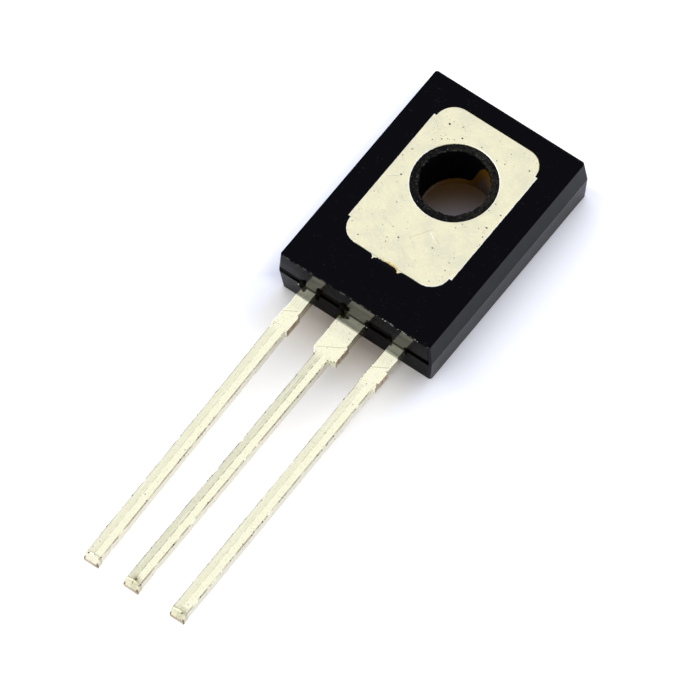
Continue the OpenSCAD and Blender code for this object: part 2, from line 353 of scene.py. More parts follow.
def epoxy_material(props):
    """Matt black compound: dull and speckled on the ground face, polished on the drafted sides."""
    b = new_board("Moulded epoxy")
    p = b.millimetres()
    x, y, z = b.split(p)
    r = (x * x + y * y) ** 0.5
    right = rightward(x, y)
    cloud = b.noise(p, 1.6, 3.0)
    grain = b.noise(p, 22.0, 2.0)
    lumps = b.noise(p, 9.0, 3.0, 0.6)
    top = z.rise(TOP - 0.05, TOP - 0.012)
    lower = z.rise(PARTING_Z + 0.02, PARTING_Z - 0.02)
    ring = top * r.rise(TAB_HOLE_R + 0.05, TAB_HOLE_R)
    bore = r.rise(HOLE_R + 0.06, HOLE_R + 0.03)
    at_end = y.rise(BODY_END + 0.12, BODY_END + 0.09)

    # Painted shade, black and unpolished, in the gap between the mould halves and reaching above
    # it between and beside the leads, with the broken resin along it
    shoulder = SHOULDER_W / 2
    inner, outer = LEAD_PITCH - LEAD_W / 2, LEAD_PITCH + LEAD_W / 2
    past_shoulder = abs(x).rise(shoulder - 0.02, shoulder + 0.04)
    between = past_shoulder * abs(x).rise(inner + 0.04, inner - 0.02)
    past_leads = abs(x).rise(outer - 0.01, outer + 0.09)
    off_leads = between.at_least(past_leads)
    torn = (b.noise(p, 5.0, 3.0, 0.6) - 0.5) * between
    above_gap = z - PARTING_Z + 0.05 * between + 0.03 * past_leads + 0.05 * torn
    below_gap = PARTING_Z + SLIT_H - z + 0.24 * between + 0.08 * past_leads + 0.1 * torn
    gap_shade = (above_gap.rise(-0.012, 0.004) * below_gap.rise(-0.01, 0.006)
              * y.rise(BODY_END + 0.3, BODY_END + 0.25)
              * abs(x).rise(BODY_HIGH.x - 0.08, BODY_HIGH.x - 0.1) * off_leads)
    over_lead = (at_end * z.rise(PARTING_Z + 0.13, PARTING_Z + 0.07)
                 * z.rise(PARTING_Z - 0.01, PARTING_Z + 0.01) * (1 - off_leads))

    # Warm light that creeps up the bore's wall, highest towards the picture's right
    deep = right.rise(0.64, 1.36) * 1.95 + 0.38 - z
    warm_light = b.layers(
        (0.48, 0.36, 0.25),
        (right.rise(-1.3, -0.1), (0.36, 0.19, 0.035)),
        (right.rise(0.2, 1.1), (0.2, 0.09, 0.007)),
        (deep.rise(0.25, 1.5), (0.2, 0.145, 0.115)))

    dust = b.noise(p, 14.0, 1.0).rise(0.68, 0.76) * cloud.rise(0.48, 0.6)
    chipped = r.rise(HOLE_R + 0.1, HOLE_R + 0.03) * b.noise(p, 11.0, 2.0).rise(0.5, 0.64)
    rim = z.rise(TOP - 0.045, TOP - 0.028) * y.rise(BODY_END + 0.15, BODY_END + 0.11)
    grey = b.mix(right.rise(-1.0, 1.4), (0.01, 0.01, 0.009), (0.024, 0.023, 0.018))
    base = b.layers(
        props.colour,
        (dust * 0.5, (0.05, 0.05, 0.055)),
        (ring * lumps.rise(0.34, 0.68), grey),
        (ring * b.noise(p, 15.0, 1.0).rise(0.72, 0.76), (0.22, 0.22, 0.2)),
        (ring * chipped, (0.04, 0.04, 0.034)),
        (bore * deep.rise(-0.05, 0.06), warm_light),
        (rim * b.noise(p, 4.0, 4.0, 0.7).rise(0.46, 0.62), (0.09, 0.09, 0.085)),
        (over_lead, (0.02, 0.015, 0.0)),
        # painted shade in the gap between the mould halves
        (gap_shade, (0.0004, 0.0004, 0.0004)))

    # The lead end is polished most on its left part and least close to the upper face
    left_end = x.rise(-2.4, -3.0)
    end_gloss = props.end_gloss * (0.6 - 0.3 * lower + (0.4 + 0.3 * lower) * left_end)
    end_gloss = end_gloss * (1.15 - 0.35 * z.rise(2.0, 2.3))
    side_gloss = props.side_gloss * (0.5 + 0.45 * lower + 0.5 * cloud)
    gloss = at_end * end_gloss + (1 - at_end) * side_gloss
    return b.surface({
        "Base Color": base,
        "Roughness": 0.45 + 0.2 * cloud,
        "Specular IOR Level": 0.025,
        "Coat Weight": gloss * (1 - top) * (1 - bore) * (1 - gap_shade) * (1 - 0.95 * over_lead),
        "Coat Roughness": 0.07,
        "Coat IOR": 1.5,
        "Normal": b.bump(grain * 0.5 + lumps * 0.5, 0.15, 0.012 * MM),
    })


def resin_material():
    """Thin brown-black resin that squeezed out over the metal."""
    b = new_board("Resin flash")
    cloud = b.noise(b.millimetres(), 9.0, 3.0)
    return b.surface({
        "Base Color": b.mix(cloud.rise(0.4, 0.7), (0.0006, 0.0006, 0.0005), (0.006, 0.005, 0.002)),
        "Roughness": 0.5 + 0.3 * cloud,
        "Specular IOR Level": 0.03,
        "Normal": b.bump(cloud, 0.3, 0.02 * MM),
    })


def pad_material(props):
    """Matt tin on the pad: faint mottling, pits, scratches and resin along its edges."""
    b = new_board("Tinned pad")
    x, y = b.split(b.millimetres())[:2]
    flat = b.join(x, y, 0.0)
    r = (x * x + y * y) ** 0.5
    right = rightward(x, y)
    away = outside_pad(x, y)
    mottle = b.noise(flat, 0.9, 5.0, 0.6)
    fine = b.noise(flat, 7.0, 4.0, 0.65)
    ragged = b.noise(flat, 6.0, 3.0, 0.6)
    patches = b.noise(flat, 1.1, 1.0).rise(0.42, 0.62)

    # Dirt, with more grit around one place, scuffs along one direction and painted glints along
    # another
    specks = b.cells(flat, 3.4).rise(0.14, 0.06) * b.noise(flat, 4.3, 1.0).rise(0.47, 0.56)
    cluster = ((x + 1.4) * (x + 1.4) + (y - 1.9) * (y - 1.9)).rise(1.2, 0.2) * 0.12
    gritty = (b.noise(flat, 2.1, 2.0) + cluster).rise(0.54, 0.64)
    grit = b.cells(flat, 9.0).rise(0.24, 0.1) * gritty
    scuffed = b.join(x * 4.0 + y * 7.0, x * 1.1 - y * 0.5, 0.0)
    scuffs = b.noise(scuffed, 1.0, 3.0).rise(0.62, 0.72) * patches
    # The lines along which the painted glints run
    polished = b.join(x * 2.0 - y * 1.2, x * 9.0 + y * 14.0, 0.0)
    glints = b.noise(polished, 0.6, 2.0).rise(0.7, 0.78)

    # Resin bites into the near edge and creeps over the others and the hole's edge
    not_near = y.rise(PAD_NEAR - 0.02, PAD_NEAR + 0.03)
    edge = (away + 0.05 * (ragged - 0.5)).rise(-0.03, 0.0) * not_near
    bite = PAD_NEAR + 0.02 + 0.3 * (ragged - 0.5) - 0.17 * abs(x).rise(0.44, 0.64) - y
    crept = r + 0.08 * (0.55 - b.noise(flat, 7.0, 3.0, 0.6))
    creeping = crept.rise(TAB_HOLE_R + 0.01, TAB_HOLE_R)
    dark = edge.at_least(bite.rise(0.0, 0.015)).at_least(creeping)
    stain = bite.rise(-0.1, -0.01) * abs(x).rise(0.7, 0.6) * x.rise(-0.5, 0.2)

    # Painted highlights on the metal's rounded edge on two sides of the hole and along the far
    # right edge
    edge_highlight = right.rise(-0.4, -1.2) + right.rise(0.8, 1.6) * 0.6
    edge_highlight = edge_highlight * r.rise(TAB_HOLE_R + 0.05, TAB_HOLE_R + 0.03)
    edge_highlight = edge_highlight.at_least(away.rise(-0.055, -0.035) * x.rise(1.5, 2.2) * y.rise(2.6, 2.0))
    tin = b.layers(
        props.tin,
        (mottle.rise(0.4, 0.62) * 0.65, props.dull_tin),
        (fine.rise(0.5, 0.72) * 0.35, (0.95, 0.93, 0.78)),
        (scuffs * 0.4, (0.5, 0.47, 0.34)),
        *((scratch(x, y, start, end, width) * share, shade)
          for start, end, width, share, shade in SCRATCHES),
        (glints * 0.5, (1.0, 0.99, 0.92)),
        (specks * 0.85, (0.14, 0.11, 0.08)),
        (grit * 0.6, (0.2, 0.17, 0.12)),
        (stain * 0.8, (0.62, 0.4, 0.05)),
        # painted highlight along the rounded metal edges
        (edge_highlight, (1.0, 1.0, 0.97)),
        (dark, COMPOUND))
    return b.surface({
        "Base Color": tin,
        "Metallic": 0.6 * (1 - dark),
        "Roughness": 0.36 + 0.14 * fine,
        "Specular IOR Level": 0.05,
        "Normal": b.bump(fine * 0.6 + mottle, 0.3, 0.03 * MM),
    })


def lead_material(props):
    """Rolled tin on the leads: a bright facet and a left facet painted duller as shade, a dark
    line along the ridge and nicked edges.
    """
    b = new_board("Tinned lead")
    p = b.millimetres()
    x, _, z = b.split(p)
    u, v = b.split(b.put("ShaderNodeUVMap", {"uv_map": "along"}))[:2]
    to_tip = LEAD_END - v
    streak = b.noise(b.join(u * 7.0, v * 0.6, x * 0.3), 1.0, 4.0, 0.6)
    cloud = b.noise(p, 2.4, 3.0, 0.6)
    fine = b.noise(p, 9.0, 3.0, 0.65)
    past_tie = v.rise(TIE_END - 0.15, TIE_END + 0.4)
    centre = abs(x - 0.02 * v).rise(1.1, 0.8)
    side = z.rise(PARTING_Z - 0.03, PARTING_Z - 0.06)
    # Painted shade on the lead's sides between the body and the cut tie bar
    shaded_side_root = side * v.rise(TIE_FROM + 0.05, TIE_FROM - 0.05)
    # Painted shade: the ridge's left facet and the lead close to the body are greyer; the fine
    # noise adds a random dull tone
    left = (u + 0.06 * (streak - 0.5)).rise(0.03, -0.03) * past_tie
    dull = left * (0.35 + 0.3 * centre) + fine.rise(0.5, 0.7) * 0.3 + v.rise(1.3, 0.8) * 0.3

    # The dark broken line along the ridge, doubled on the first part of the centre lead
    twin = abs(u + 0.09).rise(0.025, 0.008) * 0.6 * centre * v.rise(5.0, 3.6)
    line = abs(u - 0.05 * (cloud - 0.5)).rise(0.03, 0.008).at_least(twin)
    broken = b.noise(b.join(u * 3.0, v * 3.1, 3.0 + x * 0.3), 1.0, 4.0, 0.7).rise(0.4, 0.58)
    dark_ridge_line = line * past_tie * (0.35 + 0.65 * centre) * broken

    # Dark edges, specks, and close to the body a painted reflection of the moulding's dark end, a
    # fold and resin
    uneven = b.noise(b.join(u * 2.0, v * 1.3, 7.0 + x * 0.3), 1.0, 4.0, 0.7).rise(0.34, 0.56)
    outline = abs(u).rise(0.285, 0.305) * (1 - side) * past_tie * uneven
    rim = abs(u).rise(0.24, 0.33)
    specks = b.cells(p, 4.6).rise(0.2, 0.08) * (0.15 + 0.85 * rim) * fine.rise(0.4, 0.56)
    dots = b.cells(p, 2.7).rise(0.09, 0.05) * cloud.rise(0.4, 0.52)
    # Painted reflection: the metal is darkened where it mirrors the moulding's dark end, over the
    # real mirroring
    end_reflection = v.rise(0.5, 0.47) * (0.7 + 0.6 * (cloud - 0.5))
    fold = abs(v + 0.6 * u - 1.2 - 0.44 * centre).rise(0.035, 0.012) * cloud.rise(0.38, 0.5)
    stain = (u + 0.36 + 0.25 * (fine - 0.5)).rise(0.04, -0.04) * v.rise(0.42, 0.25) * centre
    resin = b.mix(fine.rise(0.45, 0.6), (0.02, 0.016, 0.004), (0.3, 0.23, 0.03))

    # The flared tips: dull, with dark corners, a spot on the centre one and smudges on two
    marked = x.rise(-1.2, -0.8)
    tip = to_tip.rise(0.29, 0.26)
    corner = to_tip.rise(0.06, 0.0) * abs(u).rise(0.24, 0.3)
    off_spot = (u - 0.05) * (u - 0.05) + (to_tip - 0.3) * (to_tip - 0.3)
    spot = off_spot.rise(0.009, 0.0) * centre
    smudge = to_tip.rise(0.5, 0.38) * marked * abs(u).rise(0.33, 0.2)
    smudge = smudge * (0.4 * fine.rise(0.44, 0.62) + 0.6 * u.rise(-0.1, 0.08))
    smudge = smudge.at_least(off_spot.rise(0.06, 0.0) * centre)
    tin = b.layers(
        props.bright_tin,
        (dull.at_most(1.0), props.dull_tin),
        (streak.rise(0.52, 0.7) * 0.45, (0.99, 0.98, 0.86)),
        (end_reflection, (0.33, 0.335, 0.26)),
        (side * past_tie * 0.85, (0.73, 0.69, 0.61)),
        (shaded_side_root * 0.6, (0.5, 0.45, 0.33)),
        (fold * 0.45, (0.42, 0.38, 0.26)),
        (outline * 0.7, (0.28, 0.23, 0.15)),
        (tip * (0.5 + 0.45 * marked), (0.67, 0.65, 0.48)),
        (tip * to_tip.rise(0.1, 0.2) * 0.45, (0.42, 0.4, 0.29)),
        (smudge * 0.65, (0.42, 0.4, 0.27)),
        (corner.at_least(spot) * 0.85, (0.1, 0.085, 0.05)),
        (dark_ridge_line * 0.75, (0.2, 0.18, 0.11)),
        (specks.at_least(dots).at_most(1.0) * 0.85, (0.1, 0.085, 0.06)),
        (stain * 0.9, resin))
    return b.surface({
        "Base Color": tin,
        "Metallic": 0.88 - 0.5 * dark_ridge_line.at_least(outline),
        "Roughness": (v.rise(0.5, 1.2) * 0.12 + 0.05) * (0.6 + 0.8 * cloud) + 0.25 * tip,
        "Specular IOR Level": 0.3,
        "Normal": b.bump(streak + fine * 0.5, 0.22, 0.02 * MM),
    })


def copper_material(props):
    """Sheared faces where the tie bar and the tips were cut."""
    b = new_board("Sheared copper")
    p = b.millimetres()
    x, y, z = b.split(p)
    lines = b.noise(b.join(x * 3.0, y * 9.0, z * 1.2), 1.0, 3.0)
    cloud = b.noise(p, 5.0, 3.0)
    base = b.layers(
        props.copper,
        (lines.rise(0.35, 0.7), (0.6, 0.5, 0.38)),
        (cloud.rise(0.55, 0.75) * 0.6, (0.14, 0.09, 0.05)),
        ((z + 0.12 * (cloud - 0.5)).rise(1.02, 0.94), (0.72, 0.7, 0.6)))
    return b.surface({
        "Base Color": base,
        "Metallic": 0.7,
        "Roughness": 0.32 + 0.25 * lines,
        "Normal": b.bump(lines, 0.4, 0.02 * MM),
    })


def plain_metal(name, base, accent, rough, metallic):
    """Hidden metal or silicon with a fine variation."""
    b = new_board(name)
    cloud = b.noise(b.millimetres(), 6.0, 4.0)
    return b.surface({
        "Base Color": b.mix(cloud.rise(0.4, 0.7), base, accent),
        "Metallic": metallic,
        "Roughness": rough + 0.15 * cloud,
        "Normal": b.bump(cloud, 0.2, 0.01 * MM),
    })


def crumb_material(name, base, accent):
    """Matt dirt or dust."""
    b = new_board(name)
    cloud = b.noise(b.millimetres(), 14.0, 2.0)
    return b.surface({
        "Base Color": b.mix(cloud.rise(0.4, 0.65), base, accent),
        "Roughness": 0.6 + 0.2 * cloud,
        "Specular IOR Level": 0.2,
    })


def floor_material(props):
    """Paper that adds white for the camera, and is clear from below."""
    b = new_board("Pale floor")
    p = b.millimetres()
    x, y = b.split(p)[:2]
    past_right, past_left = x - BODY_HIGH.x, BODY_LOW.x - x
    past_end = abs(y - BODY_MIDDLE) - (BODY_HIGH.y - BODY_MIDDLE)

    # The floor on the leads' side: around the leads, to the right with its corner, to the left
    front = y.rise(BODY_MIDDLE, BODY_MIDDLE - 1.0)
    right_part, left_part = x.rise(2.1, 2.5) * front, x.rise(-2.6, -3.0) * front
    by_leads = front - right_part - left_part
    right_corner = right_part * past_right.rise(-0.9, 0.4)
    by_right_lead = right_part - right_corner

    # The white fades in the shadow close to the body, and over the longest way around the leads
    beside = past_right.rise(-2.2, 1.8).at_least(past_left.rise(0.15, 1.75))
    slow = ((past_end - 0.25).at_least(0.0) / 5.6).at_most(1.0) ** 0.72
    left_share = 0.4 + 0.2 * past_left.rise(-0.2, 0.8) + 0.4 * past_end.rise(1.2, 4.0)
    before = (by_leads * slow
              + by_right_lead * past_end.rise(-1.8, 2.9)
              + right_corner * (beside + (1 - beside) * past_end.rise(-1.8, 0.4))
              + left_part * left_share * past_end.rise(-0.6, 0.3)
              + (1 - front) * past_end.rise(-0.4, 0.6))
    white = b.mix(b.seen() * beside.at_least(before), BLACK, WHITE)

    # Painted light on the paper: warm bounce from the leads around them, cool shade beside the
    # body, and dark shade under the bore, browner towards its far side
    warm_light = by_leads.at_least(by_right_lead * 0.5) * past_end.rise(2.8, 0.2)
    cool_shade = past_right.rise(-1.0, 0.2).at_least(past_left.rise(-0.4, 0.4))
    shade_under_bore = (x * x + y * y).rise(4.0, 3.0)
    near = (x * RIGHT_Y - y * RIGHT_X).rise(-1.4, 0.4)
    paper = b.layers(
        props.floor,
        (b.noise(p, 0.02, 2.0).rise(0.3, 0.7) * 0.2, (0.86, 0.86, 0.87)),
        (warm_light, (0.88, 0.8, 0.735)),
        (cool_shade, (0.8, 0.825, 0.96)),
        (shade_under_bore, b.mix(near, (0.26, 0.15, 0.06), (0.36, 0.34, 0.38))))
    matt = b.put("ShaderNodeBsdfDiffuse", None, {"Color": paper})
    lift = b.put("ShaderNodeEmission", None, {"Color": white, "Strength": props.floor_lift})
    both = b.put("ShaderNodeAddShader", None, {0: matt, 1: lift})
    back = b.put("ShaderNodeNewGeometry", output="Backfacing")
    clear = b.put("ShaderNodeBsdfTransparent")
    sheet = b.put("ShaderNodeMixShader", None, {0: back, 1: both, 2: clear})
    return b.output(sheet)


def cad_solid(node):
    """A merged copy of a CAD node in millimetres, with its flat faces whole again."""
    bm = bmesh.new()
    bm.from_mesh(frame["nodes"][node].data)
    bmesh.ops.scale(bm, vec=(1 / MM,) * 3, verts=bm.verts)
    bmesh.ops.remove_doubles(bm, verts=bm.verts, dist=CAD_MERGE)
    bmesh.ops.dissolve_limit(bm, angle_limit=math.radians(FLAT_ANGLE), verts=bm.verts,
                             edges=bm.edges)
    return bm


def cut(bm, place, normal):
    """Splits the faces and edges that cross a plane."""
    bmesh.ops.bisect_plane(bm, geom=bm.verts[:] + bm.edges[:] + bm.faces[:], dist=CUT_MERGE,
                           plane_co=place, plane_no=normal)


def bevel(bm, edges, radius):
    """Rounds the edges and returns the new strips."""
    made = bmesh.ops.bevel(bm, geom=edges, offset=radius, offset_type="OFFSET", segments=2,
                           profile=0.5, affect="EDGES", clamp_overlap=False)
    return made["faces"]


def sharp(bm, degrees):
    """The edges between faces that meet at more than an angle."""
    least = math.radians(degrees)
    return [e for e in bm.edges if e.is_manifold and e.calc_face_angle(0.0) > least]


def crease(bm, degrees):
    """Shades every face smooth except across its sharp edges."""
    for face in bm.faces:
        face.smooth = True
    for edge in sharp(bm, degrees):
        edge.smooth = False


def add_object(name, data):
    """A new object in the scene."""
    made = bpy.data.objects.new(name, data)
    bpy.context.scene.collection.objects.link(made)
    return made


def bake(piece, modifier):
    """Turns a piece with one modifier into a plain mesh."""
    bpy.context.view_layer.update()
    graph = bpy.context.evaluated_depsgraph_get()
    mesh = bpy.data.meshes.new_from_object(
        piece.evaluated_get(graph), preserve_all_data_layers=True, depsgraph=graph)
    piece.modifiers.remove(modifier)
    spent = piece.data
    name = spent.name
    piece.data = mesh
    bpy.data.meshes.remove(spent)
    mesh.name = name


def finish_piece(bm, name, materials, node):
    """Turns a mesh in millimetres into a piece in metres, which may stand for a CAD node."""
    bmesh.ops.scale(bm, vec=(MM,) * 3, verts=bm.verts)
    mesh = bpy.data.meshes.new(name)
    bm.to_mesh(mesh)
    bm.free()
    for material in materials:
        mesh.materials.append(material)
    piece = add_object(name, mesh)
    even = piece.modifiers.new("Even shading", "WEIGHTED_NORMAL")
    even.keep_sharp = True
    bake(piece, even)
    if node:
        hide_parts(node)
    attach(piece, "root")


def lead_place(node, co):
    """Place of a point on a lead: across it from its middle, and along it from the body."""
    x, y = co.x - LEAD_X[node], BODY_END - co.y
    if y > TIE_END:
        turn = Matrix.Rotation(-math.radians(LEANS[node]), 2)
        turned = turn @ Vector((x, TIE_END - y))
        x, y = turned.x, TIE_END - turned.y
    return x, y


def clamp(value):
    """The value, or the nearer of 0 and 1 where it lies outside them."""
    return min(1.0, max(0.0, value))


class TRANSISTOR_OT_moulding(bpy.types.Operator):
    """Black moulding with rounded edges"""

    bl_idname = "transistor.moulding"
    bl_label = "Moulding"

    # How far the draft and the corner flats bring the sides and the lead end in, in millimetres
    SIDE_REACH, END_REACH = 0.12, 0.07
    # Greatest height of a drafted side's normal, and least distance of the side from the middle
    STEEP, OUTWARD = 0.15, 1.0
    # Dust on the rounded edge over the lead end: from and to along x, and the edge's least slope
    DUSTY = (1.3, 3.5)
    SLOPE = 0.2
    # The bore's upper edge: reach around it, and the chips' mean depth and variation
    CHIP_REACH, CHIP_DEPTH, CHIP_SPREAD = 0.06, 0.02, 0.06

    def execute(self, context):
        props = context.scene.transistor_moulding
        bm = cad_solid("epoxy_body")
        bmesh.ops.subdivide_edges(bm, edges=[e for e in bm.edges if self.bore_top(e)], cuts=2)
        crease(bm, CREASE_ANGLE)
        edges = [e for e in sharp(bm, BEVEL_ANGLE) if self.rim(e)]
        bevel(bm, edges, props.edge_radius / MM)
        self.chip_bore(bm)
        for x in self.DUSTY:
            cut(bm, (x, 0, 0), (1, 0, 0))
        site = bm.faces.layers.bool.new("crumb_site")
        for face in bm.faces:
            face[site] = self.holds_dust(face)
        finish_piece(bm, "moulding", [epoxy_material(props)], "epoxy_body")
        return {"FINISHED"}

    def outer(self, face):
        """The two flat faces and the drafted sides with their corner flats."""
        c, n = face.calc_center_median(), face.normal
        flat = abs(n.z) > LEVEL and (c.z > TOP - CLOSE or c.z < CLOSE)
        at_side = (abs(c.x) > BODY_HIGH.x - self.SIDE_REACH
                   or c.y > BODY_HIGH.y - self.SIDE_REACH or c.y < BODY_END + self.END_REACH)
        out = n.dot(c - Vector((0.0, BODY_MIDDLE, 0.0)))
        return flat or abs(n.z) < self.STEEP and at_side and out > self.OUTWARD

    def rim(self, edge):
        """Edges between outer faces, and those of the holes in the two flat faces."""
        flat = any(abs(f.normal.z) > LEVEL for f in edge.link_faces)
        heights = [v.co.z for v in edge.verts]
        return (all(self.outer(f) for f in edge.link_faces)
                or flat and (min(heights) > TOP - CLOSE or max(heights) < CLOSE))

    def bore_top(self, edge):
        """Edges around the upper end of the bore."""
        return all(v.co.xy.length < HOLE_R + 2 * CLOSE and v.co.z > TOP - CLOSE
                   for v in edge.verts)

    def chip_bore(self, bm):
        """Breaks the upper edge of the bore into uneven chips."""
        for vert in bm.verts:
            way = Vector((vert.co.x, vert.co.y, 0.0))
            if way.length < HOLE_R + self.CHIP_REACH and vert.co.z > TOP - self.CHIP_REACH:
                way.normalize()
                broad = noise.noise(way * 3.0 + Vector((0.0, 0.0, 2.0)))
                chip = noise.noise(way * 12.0)
                vert.co -= way * (self.CHIP_DEPTH + self.CHIP_SPREAD * (broad + chip))

    def holds_dust(self, face):
        """Part of the rounded edge between the upper face and the lead end."""
        c, n = face.calc_center_median(), face.normal
        at_edge = c.z > TOP - 0.05 and c.y < BODY_END + 0.2
        sloped = n.y < -self.SLOPE and n.z > self.SLOPE
        return at_edge and sloped and self.DUSTY[0] < c.x < self.DUSTY[1]


class TRANSISTOR_OT_leadframe(bpy.types.Operator):
    """Stamped tab and leads with rolled, wavering edges and sheared faces"""

    bl_idname = "transistor.leadframe"
    bl_label = "Lead frame"

    # Places of the materials in the mesh's list
    PAD, LEAD, COPPER = 0, 1, 2
    # The ridge starts this far before the tie bar's end, and reaches its height over these lengths
    RIDGE_BEFORE = 0.1
    RAMPS = {"collector_tab": 0.5, "emitter_lead": 3.0, "base_lead": 3.0}
    # Length of a cut piece of lead, and the length at the tip that stays whole
    STEP, WHOLE_TIP = 0.12, 0.3
    # The flare at the tips: its length, and how far it goes out and sideways
    FLARE_L, FLARE_OUT, FLARE_SIDE = 0.4, 0.04, 0.025
    # The zone that moves with a lead's edge, from the middle, and its width
    EDGE_FROM, EDGE_OVER = 0.2, 0.12
    # Noise above this level is a nick, and the depth of a nick for each unit above it
    NICK_FROM, NICK_DEPTH = 0.32, 0.12
    # Half width of the neck, and how far inside the lead end it begins
    NECK_HALF_W, NECK_FROM = 0.95, 0.3

    def execute(self, context):
        props = context.scene.transistor_leadframe
        materials = [pad_material(props), lead_material(props), copper_material(props)]
        for node, name in LEAD_PIECES.items():
            bm = cad_solid(node)
            flat_start = [e for e in bm.edges if self.ridge_start(node, e)
                          and all(v.co.z < PARTING_Z + 1e-3 for v in e.verts)]
            bmesh.ops.dissolve_edges(bm, edges=flat_start)
            crease(bm, CREASE_ANGLE)
            site = bm.faces.layers.bool.new("crumb_site")
            edges = []
            for edge in sharp(bm, BEVEL_ANGLE):
                if self.ridge_start(node, edge):
                    edge.smooth = True
                elif not self.at_neck(edge):
                    edges.append(edge)
            for face in bevel(bm, edges, props.edge_radius / MM):
                c = face.calc_center_median()
                along = lead_place(node, c)[1]
                face[site] = c.z > PARTING_Z - 0.06 and along > 0.5 and abs(face.normal.y) < 0.8
            self.cut_and_waver(bm, node, props.edge_waver / MM)
            self.lay_out(bm, node)
            finish_piece(bm, name, materials, node)
        return {"FINISHED"}

    def ridge_start(self, node, edge):
        """Edges of the small end of the ridge, beside the tie bar."""
        start = TIE_END - self.RIDGE_BEFORE
        return all(v.co.z > PARTING_Z - 0.005 and abs(lead_place(node, v.co)[1] - start) < 0.03
                   for v in edge.verts)

    def at_neck(self, edge):
        """Edges of the neck that dips from the pad into the moulding."""
        return all(abs(v.co.x) < self.NECK_HALF_W
                   and BODY_END + self.NECK_FROM < v.co.y < PAD_NEAR + 0.02 for v in edge.verts)

    def cut_and_waver(self, bm, node, waver):
        """Cuts a lead into short lengths, lets its edges wander, and shapes ridge and tip."""
        y = BODY_END
        while y > LEAD_TIP + self.WHOLE_TIP:
            cut(bm, (0, y, 0), (0, 1, 0))
            y -= self.STEP
        lead_x = LEAD_X[node]
        for vert in bm.verts:
            across, along = lead_place(node, vert.co)
            if along < 0.02:
                continue
            flare = max(0.0, (along - LEAD_END + self.FLARE_L) / self.FLARE_L)
            vert.co.y -= self.FLARE_OUT * flare
            vert.co.x += math.copysign(self.FLARE_SIDE * flare, across)
            if vert.co.z > PARTING_Z + 1e-4:
                risen = clamp((along - TIE_END + self.RIDGE_BEFORE) / self.RAMPS[node])
                vert.co.z = PARTING_Z + (vert.co.z - PARTING_Z) * risen
            side, inward = (5.0, -1.0) if across > 0 else (0.0, 1.0)
            slow = noise.noise(Vector((side, along * 0.8, lead_x)))
            quick = noise.noise(Vector((side, along * 3.7, lead_x + 9.0)))
            nick = noise.noise(Vector((side, along * 2.9, lead_x + 3.0)))
            nick = max(0.0, nick - self.NICK_FROM) * self.NICK_DEPTH
            edge = clamp((abs(across) - self.EDGE_FROM) / self.EDGE_OVER)
            vert.co.x += edge * (waver * (slow + 0.7 * quick) + inward * nick)
            if vert.co.z > PARTING_Z - 0.1:
                swell = noise.noise(Vector((across * 2.0, along * 0.9, lead_x)))
                vert.co.z += 0.5 * waver * swell
        bmesh.ops.remove_doubles(bm, verts=bm.verts, dist=LEAD_MERGE)

    def lay_out(self, bm, node):
        """Gives each lead its own map and each face its finish."""
        chart = bm.loops.layers.uv.new("along")
        bm.normal_update()
        for face in bm.faces:
            c, n = face.calc_center_median(), face.normal
            along = lead_place(node, c)[1]
            stub = abs(n.x) > 0.75 and TIE_FROM + 0.02 < along < TIE_END - 0.02
            tip = n.y < -0.9 and c.y < LEAD_TIP + 0.1
            on_pad = c.z > PARTING_Z + 0.1 and c.y > BODY_END + self.NECK_FROM
            face.material_index = (self.COPPER if stub or tip
                                   else self.PAD if on_pad else self.LEAD)
            for loop in face.loops:
                loop[chart].uv = lead_place(node, loop.vert.co)


class TRANSISTOR_OT_chip(bpy.types.Operator):
    """Finish of the die, its solder and the bond wires inside the moulding"""

    bl_idname = "transistor.chip"
    bl_label = "Chip and bonds"

    # Nodes with their finish: name, base colour, accent, roughness and metallic share
    FINISHES = {
        ("silicon_die",): ("Silicon", (0.2, 0.21, 0.25), (0.3, 0.31, 0.36), 0.25, 0.5),
        ("die_solder",): ("Solder", (0.5, 0.51, 0.53), (0.66, 0.67, 0.7), 0.4, 0.9),
        ("emitter_wire", "base_wire"): (
            "Bond wire", (0.8, 0.81, 0.83), (0.88, 0.89, 0.9), 0.25, 1.0),
    }

    def execute(self, context):
        for nodes, finish in self.FINISHES.items():
            material = plain_metal(*finish)
            for node in nodes:
                slots = frame["nodes"][node].data.materials
                slots.clear()
                slots.append(material)
        return {"FINISHED"}


